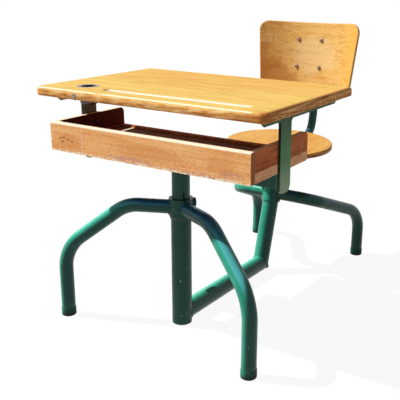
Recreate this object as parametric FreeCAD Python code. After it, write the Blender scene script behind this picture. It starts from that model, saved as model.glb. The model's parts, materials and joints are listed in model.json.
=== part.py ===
"""School desk with a fixed top over an open tray, and a chair joined to it by one floor tube.

Millimetres. +X is the desk's width, +Y runs from the desk to the chair, +Z is up. Every piece is
built with the axis of the desk's post at X = 0, Y = 0 and the floor at Z = 0. When the pieces are
written out, the whole object is moved along Y so that the origin is the middle of its footprint.
"""
import math
import os

import FreeCAD, Part
from FreeCAD import Rotation, Vector

# ---- Driving dimensions ---------------------------------------------------------------------

# Desktop board
top_width = 610.0
top_depth = 411.0
top_thickness = 21.0
top_height = 574.0
top_slope = 1.0
top_overhang_front = 142.5
top_corner_radius = 16.0
top_upper_round = 8.0
top_lower_round = 4.0

# Pencil groove in the desktop, and the steel plate that mends its front edge
groove_length = 382.0
groove_width = 22.0
groove_depth = 6.0
groove_from_front = 49.5
groove_from_right = 59.0
edge_plate_from_left = 125.0
edge_plate_top_width = 11.0
edge_plate_bottom_width = 4.0
edge_plate_height = 14.0
edge_plate_thickness = 0.8

# Inkwell
inkwell_from_left = 102.0
inkwell_from_front = 68.5
inkwell_rim_diameter = 50.0
inkwell_rim_thickness = 3.0
inkwell_cup_diameter = 40.0
inkwell_cup_round = 6.0
inkwell_depth = 42.0
inkwell_wall = 3.0
inkwell_gap = 0.4

# Angle brackets under the desktop, uprights and crossbar
bracket_from_front = 34.0
bracket_from_rear = 25.5
bracket_height = 16.0
bracket_width = 40.0
bracket_thickness = 4.0
bracket_end_cut = 15.0
upright_width = 45.0
upright_thickness = 6.0
upright_offset_front = 5.5
upright_below_crossbar = 12.0
upright_corner_radius = 17.0
upright_weld_flare = 8.0
crossbar_height = 34.0
crossbar_wall = 2.5

# Open tray under the desktop
tray_inset = 35.0
tray_depth = 240.0
tray_height = 66.0
tray_gap_under_top = 59.0
tray_front_setback = 8.0
tray_front_thickness = 16.0
tray_front_round = 4.0
tray_side_thickness = 10.0
tray_side_rear_round = 13.0
tray_rail_height = 22.0
tray_rail_width = 16.0
tray_bottom_thickness = 6.0
tray_bottom_lift = 12.0
tray_groove_depth = 5.0
tray_groove_gap = 0.1
tray_rail_rear_round = 6.0

# Post, height tube and their clamp
post_diameter = 48.3
post_wall = 2.9
post_floor_gap = 4.0
post_cap_thickness = 3.0
post_cap_round = 2.0
post_cap_spigot = 12.0
sliding_fit = 0.05
height_tube_wall = 2.6
height_tube_insertion = 172.0
slot_width = 3.0
slot_above_collar = 16.0
slot_length = 110.0
slot_angle = -34.0
collar_top = 322.0
collar_height = 50.0
collar_chamfer = 8.0
collar_wall = 4.4
collar_lip = 1.1

# Desk legs, given along the upright plane that each one lies in
leg_diameter = 33.7
leg_wall = 2.6
desk_leg_angle = 24.2
desk_leg_below_collar_top = 23.5
desk_leg_first_reach = 131.5
desk_leg_foot_reach = 290.0
desk_leg_knee_height = 178.0
desk_leg_hip_radius = 90.0
desk_leg_knee_radius = 105.0

# Rubber foot caps
foot_cap_height = 20.0
foot_cap_base = 5.0
foot_cap_wall = 1.0
foot_cap_round = 3.0
foot_cap_fit = 0.05

# Floor beam and leaning seat column, one tube size, joined by a mitre
beam_diameter = 45.0
beam_wall = 3.2
beam_floor_gap = 6.0
column_base_distance = 380.0
column_lean = 15.9
column_length = 225.0
seat_collar_length = 42.0
seat_collar_wall = 4.2

# Seat legs
seat_leg_side_reach = 125.0
seat_foot_half_span = 180.0
seat_foot_distance = 667.0
seat_leg_knee_height = 140.0
seat_leg_hip_radius = 60.0
seat_leg_knee_radius = 80.0
seat_leg_below_collar_top = 18.0

# Clamps: socket set screws that run in welded bosses
screw_diameter = 12.0
screw_running_fit = 0.05
screw_tip_gap = 0.3
screw_stands_out = 1.0
screw_socket_across_flats = 6.0
screw_socket_depth = 6.0
boss_diameter = 22.0
boss_reach = 6.0
post_screw_angle = 50.0
post_screw_below_collar_top = 13.0

# Seat
seat_width = 318.0
seat_depth = 262.0
seat_thickness = 14.0
seat_top_height = 375.0
seat_centre_distance = 463.0
seat_rise = 4.5
seat_upper_round = 4.0
seat_lower_round = 2.5
seat_post_wall = 2.6
seat_plate_size = 120.0
seat_plate_thickness = 4.0
seat_plate_corner = 8.0
seat_post_insertion = 130.0
seat_screw_spacing = 80.0

# Back support tube and backrest
back_tube_diameter = 25.0
back_tube_wall = 2.0
back_tube_rear_distance = 668.0
back_tube_bow_distance = 694.0
back_tube_bow_share = 0.4074
back_tube_seat_bend = 50.0
back_tube_bow_bend = 150.0
back_tube_cap_thickness = 2.0
back_tube_cap_spigot = 12.0
back_lean = 6.5
back_face_distance = 640.0
back_centre_height = 612.0
back_curve_radius = 474.0
back_thickness = 10.0
back_top_width = 331.0
back_bottom_width = 296.0
back_height = 198.0
back_rise_above_bolts = 91.0
back_top_corner = 28.0
back_bottom_corner = 18.0
back_edge_round = 3.0
back_plate_width = 100.0
back_plate_height = 108.0
back_plate_thickness = 4.0
back_plate_corner = 9.0
back_bolt_spacing_x = 75.0
back_bolt_spacing_z = 80.0

# Small fasteners
bolt_diameter = 6.0
bolt_head_diameter = 12.0
bolt_head_height = 3.0
bolt_head_round = 2.2
bolt_end_past_nut = 2.0
nut_across_flats = 10.0
nut_height = 5.0
wood_screw_diameter = 4.5
wood_screw_head_diameter = 9.0
wood_screw_head_height = 2.5
wood_screw_bite_top = 14.0
wood_screw_bite_seat = 9.0
top_screws_per_side = 3
top_screw_end_margin = 40.0
tray_bolt_spacing = 24.0
tray_bolt_skin = 1.0

# ---- Places worked out from the dimensions ----------------------------------------------------

top_underside = top_height - top_thickness
top_front = -top_overhang_front
top_rear = top_front + top_depth
bracket_front = top_front + bracket_from_front
bracket_rear = top_rear - bracket_from_rear
bracket_bottom = top_underside - bracket_height
tray_top = top_underside - tray_gap_under_top
tray_bottom = tray_top - tray_height
tray_front = top_front + tray_front_setback
tray_rear = tray_front + tray_depth
tray_width = top_width - 2 * tray_inset
tray_half = tray_width / 2
crossbar_bottom = tray_bottom - crossbar_height
upright_front = -upright_width / 2 - upright_offset_front
upright_rear = upright_front + upright_width
upright_bottom = crossbar_bottom - upright_below_crossbar
upright_outer = tray_half + upright_thickness
top_pivot = Vector(0, 0, crossbar_bottom)

post_radius = post_diameter / 2
post_bore_radius = post_radius - post_wall
height_tube_radius = post_bore_radius - sliding_fit
post_tube_bottom = post_floor_gap + post_cap_thickness
height_tube_bottom = collar_top - height_tube_insertion
collar_radius = post_radius + collar_wall
collar_bottom = collar_top - collar_height

leg_radius = leg_diameter / 2
beam_radius = beam_diameter / 2
beam_height = beam_floor_gap + beam_radius
lean = math.radians(column_lean)
column_direction = Vector(0, math.sin(lean), math.cos(lean))
column_base = Vector(0, column_base_distance, beam_height)
seat_collar_radius = beam_radius + seat_collar_wall
seat_post_radius = beam_radius - beam_wall - sliding_fit

seat_centre = Vector(0, seat_centre_distance, seat_top_height)
seat_tilt = Rotation(Vector(1, 0, 0), seat_rise)
seat_underside_drop = seat_thickness + seat_plate_thickness
back_tube_radius = back_tube_diameter / 2
back_centre = Vector(0, back_face_distance, back_centre_height)
back_tilt = Rotation(Vector(1, 0, 0), -back_lean)
back_outer_radius = back_curve_radius + back_thickness
back_plate_outer_radius = back_outer_radius + back_plate_thickness

along_x = Vector(1, 0, 0)
along_y = Vector(0, 1, 0)
upward = Vector(0, 0, 1)

# The top's slight slope, about the place where the height tube meets the crossbar
top_tilt = Rotation(along_x, top_slope)

# How close two directions or places have to be to count as the same, and a length past any piece
same_direction = 1e-6
same_place = 1e-3
far = 2000.0

# The most of a tube's run that the bends at its two ends may take together
bends_share_of_run = 0.98

pieces = {}


# ---- Shape helpers ------------------------------------------------------------------------------

def block(low, high):
    """An upright box between two opposite corners."""
    size = high - low
    return Part.makeBox(size.x, size.y, size.z, low)


def mirrored(shape):
    """The same piece on the other side of the object."""
    return shape.mirror(Vector(0, 0, 0), along_x)


def join(shapes):
    """Solids that touch or overlap, made one."""
    return shapes[0].multiFuse(shapes[1:]).removeSplitter()


def edges_along(shape, direction, keep=None):
    """Straight edges of a shape that run along a direction and pass a test on their middle."""
    found = []
    for edge in shape.Edges:
        if not isinstance(edge.Curve, Part.Line):
            continue
        if edge.tangentAt(edge.FirstParameter).cross(direction).Length > same_direction:
            continue
        if keep is None or keep(edge.CenterOfMass):
            found.append(edge)
    return found


def edges_at_height(shape, height):
    """Edges that lie wholly in a level plane."""
    def level(edge):
        box = edge.BoundBox
        return abs(box.ZMin - height) < same_place and abs(box.ZMax - height) < same_place
    return [edge for edge in shape.Edges if level(edge)]


def bends_within_runs(points, bends):
    """The bend radii along a path, each limited by the straight runs that it joins."""
    runs = [after - before for before, after in zip(points, points[1:])]
    setbacks = [bend * math.tan(into.getAngle(out) / 2)
                for into, out, bend in zip(runs, runs[1:], bends)]
    taken = [first + second for first, second in zip([0] + setbacks, setbacks + [0])]
    fits = [min(1, bends_share_of_run * run.Length / need) for run, need in zip(runs, taken)]
    return [bend * min(pair) for bend, pair in zip(bends, zip(fits, fits[1:]))]


def bent_rod(points, radii, radius):
    """A round rod whose straight runs are joined by tangent arcs at the inner points."""
    made = []
    start = points[0]
    bends = bends_within_runs(points, radii)
    for before, corner, after, bend in zip(points, points[1:], points[2:], bends):
        into = (corner - before).normalize()
        out = (after - corner).normalize()
        turn = into.getAngle(out)
        setback = bend * math.tan(turn / 2)
        arc_start = corner - into * setback
        axis = into.cross(out).normalize()
        centre = arc_start + axis.cross(into) * bend
        disc = Part.Face(Part.Wire(Part.makeCircle(radius, arc_start, into)))
        made.append(Part.makeCylinder(radius, (arc_start - start).Length, start, into))
        made.append(disc.revolve(centre, axis, math.degrees(turn)))
        start = corner + out * setback
    last = points[-1] - start
    made.append(Part.makeCylinder(radius, last.Length, start, last))
    return join(made)


def bent_tube(points, radii, radius, wall):
    """A hollow tube along the same kind of path, open at both ends."""
    return bent_rod(points, radii, radius).cut(bent_rod(points, radii, radius - wall))


def straight_tube(start, end, radius, wall):
    """A hollow straight tube between two points."""
    run = end - start
    outer = Part.makeCylinder(radius, run.Length, start, run)
    return outer.cut(Part.makeCylinder(radius - wall, run.Length, start, run))


def half_space(point, normal):
    """A very large block on the side of a plane that its normal points to."""
    slab = Part.makeBox(2 * far, 2 * far, far, Vector(-far, -far, 0))
    slab.Placement = FreeCAD.Placement(point, Rotation(upward, normal)).multiply(slab.Placement)
    return slab


def hexagon(across_flats, height, base, direction):
    """A hexagonal prism standing on its base point along a direction."""
    reach = across_flats / math.sqrt(3)
    corners = [Vector(reach * math.cos(math.pi / 3 * k), reach * math.sin(math.pi / 3 * k), 0)
               for k in range(6)]
    prism = Part.Face(Part.makePolygon(corners + corners[:1])).extrude(upward * height)
    prism.Placement = FreeCAD.Placement(base, Rotation(upward, direction))
    return prism


def headed_pin(base, direction, head_radius, head_height, head_round, shank_radius, shank_length):
    """A round-headed pin: the head rises against the direction, the shank runs along it."""
    head = Part.makeCylinder(head_radius, head_height, base, direction * -1)
    crown = max(head.Edges, key=lambda edge: (base - edge.CenterOfMass).dot(direction))
    if head_round:
        head = head.makeFillet(head_round, [crown])
    return join([head, Part.makeCylinder(shank_radius, shank_length, base, direction)])


def in_frame_of(origin, rotation, shape):
    """A shape drawn about the origin, placed at a point with a rotation."""
    shape.Placement = FreeCAD.Placement(origin, rotation).multiply(shape.Placement)
    return shape


# ---- Desktop, its groove, mended edge and inkwell -----------------------------------------------

def rounded_top_board(grow):
    """The desktop's outer form, grown outwards by a skin thickness."""
    board = block(Vector(-top_width / 2 - grow, top_front - grow, top_underside - grow),
                  Vector(top_width / 2 + grow, top_rear + grow, top_height + grow))
    board = board.makeFillet(top_corner_radius + grow, edges_along(board, upward))
    board = board.makeFillet(top_upper_round + grow, edges_at_height(board, top_height + grow))
    return board.makeFillet(top_lower_round + grow, edges_at_height(board, top_underside - grow))


def make_groove():
    """The round-bottomed pencil groove, as the solid that is cut away."""
    radius = ((groove_width / 2) ** 2 + groove_depth ** 2) / (2 * groove_depth)
    centre_height = top_height + radius - groove_depth
    right_end = top_width / 2 - groove_from_right - groove_width / 2
    left_end = right_end - groove_length + groove_width
    y = top_front + groove_from_front
    run = Part.makeCylinder(radius, right_end - left_end, Vector(left_end, y, centre_height), along_x)
    ends = [Part.makeSphere(radius, Vector(x, y, centre_height)) for x in (left_end, right_end)]
    return join([run] + ends)


def make_inkwell(x, y):
    """A glazed cup that drops into its hole and hangs there by its rim."""
    cup_radius = inkwell_cup_diameter / 2
    bottom = top_height - inkwell_depth
    rim = Part.makeCylinder(inkwell_rim_diameter / 2, inkwell_rim_thickness,
                            Vector(x, y, top_height - inkwell_rim_thickness))
    body = Part.makeCylinder(cup_radius, inkwell_depth, Vector(x, y, bottom))
    body = body.makeFillet(inkwell_cup_round, edges_at_height(body, bottom))
    hollow = Part.makeCylinder(cup_radius - inkwell_wall, inkwell_depth,
                               Vector(x, y, bottom + inkwell_wall))
    return join([rim, body]).cut(hollow)


def make_inkwell_hole(x, y):
    """The stepped hole that the inkwell drops into."""
    shaft = Part.makeCylinder(inkwell_cup_diameter / 2 + inkwell_gap, top_thickness,
                              Vector(x, y, top_underside))
    step = Part.makeCylinder(inkwell_rim_diameter / 2 + inkwell_gap, inkwell_rim_thickness,
                             Vector(x, y, top_height - inkwell_rim_thickness))
    return join([shaft, step])


def make_edge_plate(board):
    """A thin steel plate, wider at its top, bent round the worn front edge of the board."""
    x = -top_width / 2 + edge_plate_from_left
    top = top_underside + edge_plate_height
    low = top_underside - edge_plate_thickness
    corners = [Vector(x - edge_plate_top_width / 2, 0, top),
               Vector(x + edge_plate_top_width / 2, 0, top),
               Vector(x + edge_plate_bottom_width / 2, 0, low),
               Vector(x - edge_plate_bottom_width / 2, 0, low)]
    outline = Part.Face(Part.makePolygon(corners + corners[:1]))
    outline.translate(Vector(0, top_front - far, 0))
    stencil = outline.extrude(along_y * (far + top_lower_round))
    return rounded_top_board(edge_plate_thickness).common(stencil).cut(board)


def top_screw_places():
    """The screws' points on the underside of the right bracket's flange."""
    x = upright_outer - bracket_width / 2
    first = bracket_front + top_screw_end_margin
    last = bracket_rear - top_screw_end_margin
    step = (last - first) / (top_screws_per_side - 1)
    return [Vector(x, first + step * k, top_underside - bracket_thickness)
            for k in range(top_screws_per_side)]


def make_wood_screws(places, direction, bite):
    """One round-headed wood screw at each place, heads against the direction."""
    return [headed_pin(place, direction, wood_screw_head_diameter / 2, wood_screw_head_height, 0,
                       wood_screw_diameter / 2, bite) for place in places]


def make_desktop():
    inkwell_x = -top_width / 2 + inkwell_from_left
    inkwell_y = top_front + inkwell_from_front
    board = rounded_top_board(0)
    pieces["edge_plate"] = make_edge_plate(board)
    right_screws = make_wood_screws(top_screw_places(), upward,
                                    bracket_thickness + wood_screw_bite_top)
    screws = right_screws + [mirrored(screw) for screw in right_screws]
    pieces["top_screws"] = Part.makeCompound(screws)
    board = board.cut(make_groove()).cut(make_inkwell_hole(inkwell_x, inkwell_y))
    pieces["desktop"] = board.cut(screws)
    pieces["inkwell"] = make_inkwell(inkwell_x, inkwell_y)


# ---- Steel frame that carries the desktop and tray ----------------------------------------------

def make_bracket():
    """An angle under the right edge of the desktop, its standing leg cut off slanting at both ends."""
    front = bracket_front
    rear = bracket_rear
    corners = [Vector(upright_outer, front, top_underside),
               Vector(upright_outer, rear, top_underside),
               Vector(upright_outer, rear, top_underside - bracket_thickness),
               Vector(upright_outer, rear - bracket_end_cut, bracket_bottom),
               Vector(upright_outer, front + bracket_end_cut, bracket_bottom),
               Vector(upright_outer, front, top_underside - bracket_thickness)]
    standing = Part.Face(Part.makePolygon(corners + corners[:1])).extrude(
        along_x * -bracket_thickness)
    flange = block(Vector(upright_outer - bracket_width, front, top_underside - bracket_thickness),
                   Vector(upright_outer, rear, top_underside))
    return join([standing, flange]).cut(make_wood_screws(top_screw_places(), upward, bracket_height))


def make_weld_flare(y, side):
    """A hollow-cornered gusset of weld where the upright's edge meets the bracket."""
    corner = Vector(tray_half, min(y, y + side * upright_weld_flare),
                    bracket_bottom - upright_weld_flare)
    wedge = Part.makeBox(upright_thickness, upright_weld_flare, upright_weld_flare, corner)
    hollow = Part.makeCylinder(upright_weld_flare, upright_thickness,
                               Vector(tray_half, y + side * upright_weld_flare,
                                      bracket_bottom - upright_weld_flare), along_x)
    return wedge.cut(hollow)


def make_upright(bolts):
    """A flat bar from below the crossbar up to the bracket, with a rounded lower end."""
    bar = block(Vector(tray_half, upright_front, upright_bottom),
                Vector(upright_outer, upright_rear, bracket_bottom))
    lower = edges_along(bar, along_x, lambda middle: middle.z < crossbar_bottom)
    bar = bar.makeFillet(upright_corner_radius, lower)
    flares = [make_weld_flare(upright_front, -1), make_weld_flare(upright_rear, 1)]
    return join([bar] + flares).cut(bolts)


def make_crossbar():
    """A box-section bar between the two uprights, under the tray."""
    outer = block(Vector(-tray_half, upright_front, crossbar_bottom),
                  Vector(tray_half, upright_rear, tray_bottom))
    inner = block(Vector(-tray_half, upright_front + crossbar_wall, crossbar_bottom + crossbar_wall),
                  Vector(tray_half, upright_rear - crossbar_wall, tray_bottom - crossbar_wall))
    return outer.cut(inner)


def tray_bolt_places():
    """Where the right-hand tray bolts bear on the inner face of the tray's side."""
    middle_y = (upright_front + upright_rear) / 2
    height = (tray_bottom + tray_rail_height + tray_top) / 2
    return [Vector(tray_half - tray_side_thickness, middle_y + side * tray_bolt_spacing / 2, height)
            for side in (-1, 1)]


def make_tray_bolts():
    length = tray_side_thickness + upright_thickness - tray_bolt_skin
    return [headed_pin(place, along_x, bolt_head_diameter / 2, bolt_head_height, bolt_head_round,
                       bolt_diameter / 2, length) for place in tray_bolt_places()]


def make_top_frame():
    bolts = make_tray_bolts()
    pieces["tray_bolts"] = Part.makeCompound(bolts + [mirrored(bolt) for bolt in bolts])
    pieces["top_bracket_right"] = make_bracket()
    pieces["top_bracket_left"] = mirrored(pieces["top_bracket_right"])
    pieces["upright_right"] = make_upright(bolts)
    pieces["upright_left"] = mirrored(pieces["upright_right"])
    pieces["crossbar"] = make_crossbar()


# ---- Open tray ----------------------------------------------------------------------------------

def rear_edge(bar, upper):
    """The edge along X at a bar's rear: the upper one, or else the lower one."""
    middle = bar.CenterOfMass
    return edges_along(bar, along_x, lambda p: p.y > middle.y and (p.z > middle.z) == upper)


def make_tray():
    rail_top = tray_bottom + tray_rail_height
    board_back = tray_front + tray_front_thickness
    side_inner = tray_half - tray_side_thickness
    rail_inner = tray_half - tray_rail_width
    rear_rail_front = tray_rear - tray_rail_width
    panel_low = tray_bottom + tray_bottom_lift
    panel_top = panel_low + tray_bottom_thickness
    panel = block(Vector(-rail_inner - tray_groove_depth, board_back, panel_low),
                  Vector(rail_inner + tray_groove_depth, rear_rail_front + tray_groove_depth,
                         panel_top))
    groove = block(Vector(-rail_inner - tray_groove_depth - tray_groove_gap, board_back, panel_low),
                   Vector(rail_inner + tray_groove_depth + tray_groove_gap,
                          rear_rail_front + tray_groove_depth + tray_groove_gap, panel_top))
    bolts = make_tray_bolts()

    front = block(Vector(-tray_half, tray_front, tray_bottom),
                  Vector(tray_half, board_back, tray_top))
    front_arris = edges_along(front, along_x, lambda p: p.z > rail_top and p.y < front.CenterOfMass.y)
    pieces["tray_front_board"] = front.makeFillet(tray_front_round, front_arris)

    side = block(Vector(side_inner, board_back, rail_top), Vector(tray_half, tray_rear, tray_top))
    side = side.makeFillet(tray_side_rear_round, rear_edge(side, True))
    pieces["tray_side_right"] = side.cut(bolts)
    pieces["tray_side_left"] = mirrored(pieces["tray_side_right"])

    rail = block(Vector(rail_inner, board_back, tray_bottom), Vector(tray_half, tray_rear, rail_top))
    rail = rail.makeFillet(tray_rail_rear_round, rear_edge(rail, False))
    pieces["tray_rail_right"] = rail.cut(groove)
    pieces["tray_rail_left"] = mirrored(pieces["tray_rail_right"])

    rear_rail = block(Vector(-rail_inner, rear_rail_front, tray_bottom),
                      Vector(rail_inner, tray_rear, rail_top))
    rear_rail = rear_rail.makeFillet(tray_rail_rear_round, rear_edge(rear_rail, False))
    pieces["tray_rear_rail"] = rear_rail.cut(groove)
    pieces["tray_bottom_panel"] = panel


# ---- Post, collar and clamp ---------------------------------------------------------------------

def make_clamp_screw(mouth, outward, tip_distance):
    """A socket set screw that stands a little out of the boss's mouth."""
    outer_end = mouth + outward * screw_stands_out
    inward = outward * -1
    shank = Part.makeCylinder(screw_diameter / 2, tip_distance + screw_stands_out, outer_end, inward)
    return shank.cut(hexagon(screw_socket_across_flats, screw_socket_depth, outer_end, inward))


def make_post_assembly():
    centre = Vector(0, 0, 0)
    angle = math.radians(post_screw_angle)
    outward = Vector(math.cos(angle), math.sin(angle), 0)
    screw_line = Vector(0, 0, collar_top - post_screw_below_collar_top)
    mouth = screw_line + outward * (collar_radius + boss_reach)
    hole = Part.makeCylinder(screw_diameter / 2 + screw_running_fit, collar_radius + boss_reach,
                             screw_line, outward)

    pieces["desk_post"] = straight_tube(centre + upward * post_tube_bottom,
                                        centre + upward * collar_top,
                                        post_radius, post_wall).cut(hole)

    flange = Part.makeCylinder(post_radius, post_cap_thickness, upward * post_floor_gap)
    flange = flange.makeFillet(post_cap_round, edges_at_height(flange, post_floor_gap))
    spigot = Part.makeCylinder(post_bore_radius, post_cap_spigot, upward * post_tube_bottom)
    pieces["post_foot_cap"] = join([flange, spigot])

    ring = Part.makeCylinder(collar_radius, collar_height - collar_chamfer,
                             upward * (collar_bottom + collar_chamfer))
    cone = Part.makeCone(post_radius + collar_lip, collar_radius, collar_chamfer,
                         upward * collar_bottom)
    boss = Part.makeCylinder(boss_diameter / 2, collar_radius + boss_reach, screw_line, outward)
    bore = Part.makeCylinder(post_radius, collar_height, upward * collar_bottom)
    pieces["post_collar"] = join([ring, cone, boss]).cut(bore).cut(hole)

    tip_distance = collar_radius + boss_reach - height_tube_radius - screw_tip_gap
    pieces["post_clamp_screw"] = make_clamp_screw(mouth, outward, tip_distance)

    tube = straight_tube(Vector(0, 0, height_tube_bottom), Vector(0, 0, tray_bottom),
                         height_tube_radius, height_tube_wall)
    tube = tube.cut(half_space(top_pivot, top_tilt.multVec(upward)))
    slot_top = collar_top + slot_above_collar
    slot = Part.makeBox(post_radius, slot_width, slot_length,
                        Vector(0, -slot_width / 2, slot_top - slot_length))
    slot.rotate(centre, upward, slot_angle)
    pieces["height_tube"] = tube.cut(slot)


# ---- Legs and feet ------------------------------------------------------------------------------

def make_foot_cap(x, y):
    """A rubber cup under a leg's end, its base rounded."""
    radius = leg_radius + foot_cap_fit + foot_cap_wall
    cup = Part.makeCylinder(radius, foot_cap_height, Vector(x, y, 0))
    cup = cup.makeFillet(foot_cap_round, edges_at_height(cup, 0))
    pocket = Part.makeCylinder(leg_radius + foot_cap_fit, foot_cap_height,
                               Vector(x, y, foot_cap_base))
    return cup.cut(pocket)


def make_desk_legs():
    angle = math.radians(desk_leg_angle)
    outward = Vector(math.cos(angle), -math.sin(angle), 0)
    hip_height = upward * (collar_top - desk_leg_below_collar_top)
    points = [hip_height,
              hip_height + outward * desk_leg_first_reach,
              outward * desk_leg_foot_reach + upward * desk_leg_knee_height,
              outward * desk_leg_foot_reach + upward * foot_cap_base]
    leg = bent_tube(points, [desk_leg_hip_radius, desk_leg_knee_radius], leg_radius, leg_wall)
    cope = Part.makeCylinder(collar_radius, collar_top)
    pieces["desk_leg_right"] = leg.cut(cope)
    pieces["desk_leg_left"] = mirrored(pieces["desk_leg_right"])
    foot = outward * desk_leg_foot_reach
    pieces["desk_foot_cap_right"] = make_foot_cap(foot.x, foot.y)
    pieces["desk_foot_cap_left"] = mirrored(pieces["desk_foot_cap_right"])


def make_seat_legs():
    hip = column_base + column_direction * (column_length - seat_leg_below_collar_top)
    foot = Vector(seat_foot_half_span, seat_foot_distance, 0)
    points = [hip,
              hip + along_x * seat_leg_side_reach,
              foot + upward * seat_leg_knee_height,
              foot + upward * foot_cap_base]
    leg = bent_tube(points, [seat_leg_hip_radius, seat_leg_knee_radius], leg_radius, leg_wall)
    cope = Part.makeCylinder(seat_collar_radius, column_length, column_base, column_direction)
    pieces["seat_leg_right"] = leg.cut(cope)
    pieces["seat_leg_left"] = mirrored(pieces["seat_leg_right"])
    pieces["seat_foot_cap_right"] = make_foot_cap(foot.x, foot.y)
    pieces["seat_foot_cap_left"] = mirrored(pieces["seat_foot_cap_right"])


# ---- Floor beam, seat column and its collar -----------------------------------------------------

def make_floor_beam_and_column():
    toward_post = along_y * -1
    mitre_side = toward_post - column_direction
    past_corner = along_y * beam_diameter
    beam = straight_tube(Vector(0, 0, beam_height), column_base + past_corner,
                         beam_radius, beam_wall)
    beam = beam.cut(Part.makeCylinder(post_radius, collar_top))
    pieces["floor_beam"] = beam.cut(half_space(column_base, mitre_side * -1))

    collar_start = column_length - seat_collar_length
    screw_line = column_base + column_direction * (collar_start + seat_collar_length / 2)
    outward = Vector(0, math.cos(lean), -math.sin(lean))
    mouth = screw_line + outward * (seat_collar_radius + boss_reach)
    hole = Part.makeCylinder(screw_diameter / 2 + screw_running_fit,
                             seat_collar_radius + boss_reach, screw_line, outward)

    column = straight_tube(column_base - column_direction * beam_diameter,
                           column_base + column_direction * column_length, beam_radius, beam_wall)
    pieces["seat_column"] = column.cut(half_space(column_base, mitre_side)).cut(hole)

    ring = Part.makeCylinder(seat_collar_radius, seat_collar_length,
                             column_base + column_direction * collar_start, column_direction)
    boss = Part.makeCylinder(boss_diameter / 2, seat_collar_radius + boss_reach, screw_line, outward)
    bore = Part.makeCylinder(beam_radius, column_length, column_base, column_direction)
    pieces["seat_collar"] = join([ring, boss]).cut(bore).cut(hole)

    tip_distance = seat_collar_radius + boss_reach - seat_post_radius - screw_tip_gap
    pieces["seat_clamp_screw"] = make_clamp_screw(mouth, outward, tip_distance)


# ---- Seat ---------------------------------------------------------------------------------------

def seat_point(along, drop):
    """A point on the seat's middle line: distance behind its centre, depth below its top."""
    return seat_centre + seat_tilt.multVec(Vector(0, along, -drop))


def post_axis_at_drop(drop):
    """Where the column's axis passes a given depth below the seat's top."""
    normal = seat_tilt.multVec(upward)
    reach = (seat_point(0, drop) - column_base).dot(normal) / column_direction.dot(normal)
    return column_base + column_direction * reach


def make_seat():
    plate_along = (post_axis_at_drop(seat_underside_drop) - seat_point(0, seat_underside_drop)).dot(
        seat_tilt.multVec(along_y))
    half = seat_plate_size / 2
    reach = seat_screw_spacing / 2
    places = [Vector(x, plate_along + y, -seat_underside_drop)
              for x in (-reach, reach) for y in (-reach, reach)]
    screws = make_wood_screws(places, upward, seat_plate_thickness + wood_screw_bite_seat)
    screws = [in_frame_of(seat_centre, seat_tilt, screw) for screw in screws]
    pieces["seat_screws"] = Part.makeCompound(screws)

    outline = Part.Ellipse(Vector(0, 0, -seat_thickness), seat_width / 2, seat_depth / 2)
    board = Part.Face(Part.Wire(outline.toShape())).extrude(upward * seat_thickness)
    board = board.makeFillet(seat_upper_round, edges_at_height(board, 0))
    board = board.makeFillet(seat_lower_round, edges_at_height(board, -seat_thickness))
    pieces["seat_board"] = in_frame_of(seat_centre, seat_tilt, board).cut(screws)

    plate = block(Vector(-half, plate_along - half, -seat_underside_drop),
                  Vector(half, plate_along + half, -seat_thickness))
    plate = plate.makeFillet(seat_plate_corner, edges_along(plate, upward))
    pieces["seat_plate"] = in_frame_of(seat_centre, seat_tilt, plate).cut(screws)

    lower_end = column_base + column_direction * (column_length - seat_post_insertion)
    upper_end = post_axis_at_drop(0)
    length = (upper_end - lower_end).Length
    post = Part.makeCylinder(seat_post_radius, length, lower_end, column_direction)
    bore = Part.makeCylinder(seat_post_radius - seat_post_wall, length, lower_end, column_direction)
    above_plate = half_space(seat_point(0, seat_underside_drop), seat_tilt.multVec(upward))
    pieces["seat_post"] = post.cut(bore).cut(above_plate)
    return post


# ---- Back support and backrest ------------------------------------------------------------------

def back_point(x, y, height):
    """A point given from the middle of the backrest's front face, in its leaning frame."""
    return back_centre + back_tilt.multVec(Vector(x, y, height))


def curved_sheet(inner_radius, outer_radius, outline_corners, corner_radii):
    """A sheet bent about an upright axis in front of it, cut to a rounded outline."""
    axis = Vector(0, -back_curve_radius, -back_height)
    ring = Part.makeCylinder(outer_radius, 2 * back_height, axis)
    ring = ring.cut(Part.makeCylinder(inner_radius, 2 * back_height, axis))
    stencil = Part.Face(Part.makePolygon(outline_corners + outline_corners[:1]))
    stencil.translate(Vector(0, -back_curve_radius / 2, 0))
    stencil = stencil.extrude(along_y * back_curve_radius)
    for corner, radius in zip(outline_corners, corner_radii):
        def at_corner(middle, corner=corner):
            return (abs(middle.x - corner.x) < same_place and
                    abs(middle.z - corner.z) < same_place)
        stencil = stencil.makeFillet(radius, edges_along(stencil, along_y, at_corner))
    return ring.common(stencil)


def edges_of_bent_faces(sheet, radii):
    """All edges round the faces of a bent sheet that have one of the given radii of bend."""
    def bent(surface):
        return isinstance(surface, Part.Cylinder) and any(
            abs(surface.Radius - radius) < same_place for radius in radii)
    return [edge for face in sheet.Faces if bent(face.Surface) for edge in face.Edges]


def back_bolt_places():
    """Bolt axes through the backrest: a point on its front face, and the way in."""
    found = []
    for x in (-back_bolt_spacing_x / 2, back_bolt_spacing_x / 2):
        angle = math.asin(x / back_curve_radius)
        inward = Vector(math.sin(angle), math.cos(angle), 0)
        y = back_curve_radius * (math.cos(angle) - 1)
        for height in (-back_bolt_spacing_z / 2, back_bolt_spacing_z / 2):
            found.append((Vector(x, y, height), inward))
    return found


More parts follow.
